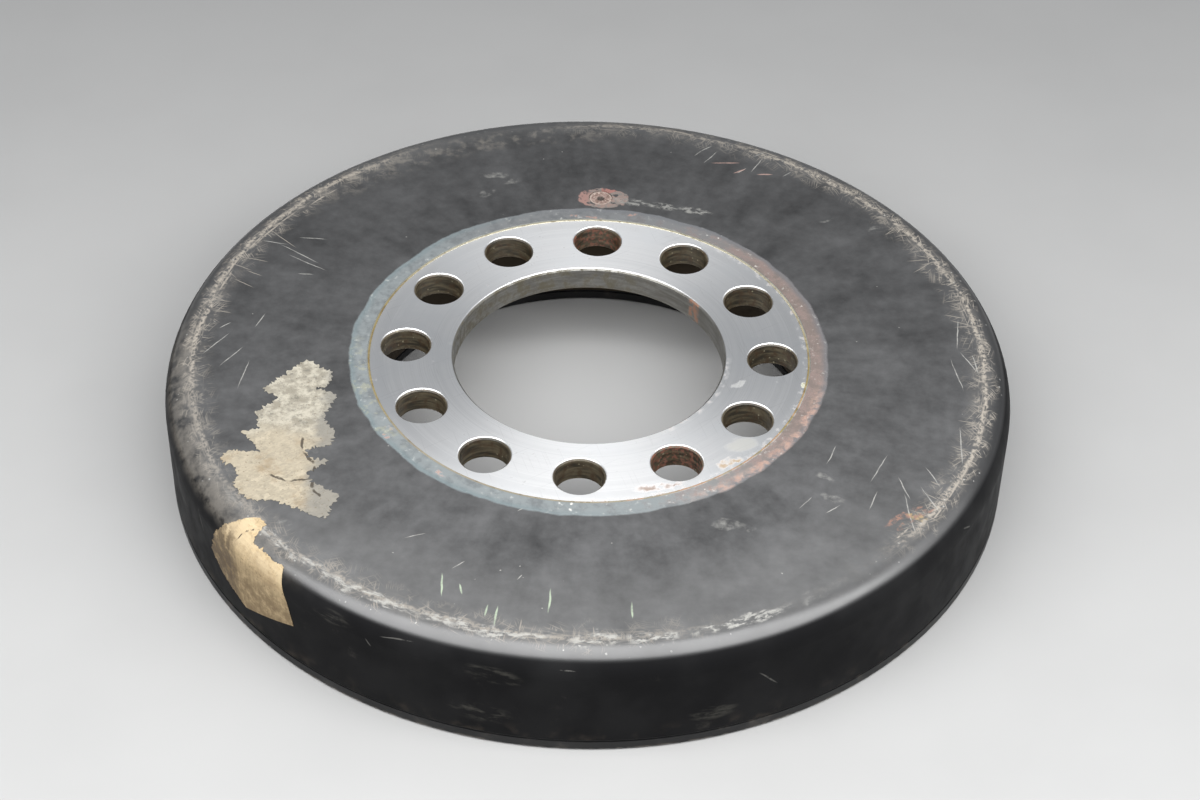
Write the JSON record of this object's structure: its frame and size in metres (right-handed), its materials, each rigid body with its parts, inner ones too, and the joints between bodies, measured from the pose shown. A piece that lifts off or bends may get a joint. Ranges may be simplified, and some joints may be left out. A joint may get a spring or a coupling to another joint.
{
  "type": "viscous torsional vibration damper",
  "caption": "Sealed ring-shaped crankshaft damper with a machined bolt flange, a rounded black steel housing and a free inertia ring in silicone fluid.",
  "frame": {"origin": "centre of the rear face, on the damper's axis", "axes": "+Z along the damper's axis towards the machined front face of the mounting flange; one bolt hole and the fill plug lie on +Y"},
  "size_m": [0.299, 0.299, 0.0417],
  "materials": {
    "machined_steel": "bright turned steel",
    "weld": "straw-tinted weld bead",
    "black_paint": "semi-matte black paint, scuffed on the rounded edge",
    "rusty_steel": "rusty peened steel",
    "paper": "aged torn paper",
    "ring_steel": "turned steel under silicone fluid",
    "bronze": "bearing bronze",
    "thrust_pad": "bronze-filled bearing plastic"
  },
  "bodies": {
    "housing": {"mounting_flange": "machined_steel", "flange_weld": "weld", "housing_channel": "black_paint", "rear_cover": "black_paint", "outer_cover_weld": "black_paint", "inner_cover_weld": "black_paint", "fill_plug": "rusty_steel", "vent_plug": "rusty_steel", "upper_label": "paper", "lower_label": "paper"},
    "inertia": {"inertia_ring": "ring_steel", "bearing_band": "bronze", "front_thrust_pad_1": "thrust_pad", "front_thrust_pad_2": "thrust_pad", "front_thrust_pad_3": "thrust_pad", "front_thrust_pad_4": "thrust_pad", "front_thrust_pad_5": "thrust_pad", "front_thrust_pad_6": "thrust_pad", "rear_thrust_pad_1": "thrust_pad", "rear_thrust_pad_2": "thrust_pad", "rear_thrust_pad_3": "thrust_pad", "rear_thrust_pad_4": "thrust_pad", "rear_thrust_pad_5": "thrust_pad", "rear_thrust_pad_6": "thrust_pad"}
  },
  "joints": [
    {"name": "ring_spin", "type": "hinge", "parent": "housing", "child": "inertia", "pos_m": [0, 0, 0.02075], "axis": [0, 0, 1], "continuous": true}
  ]
}
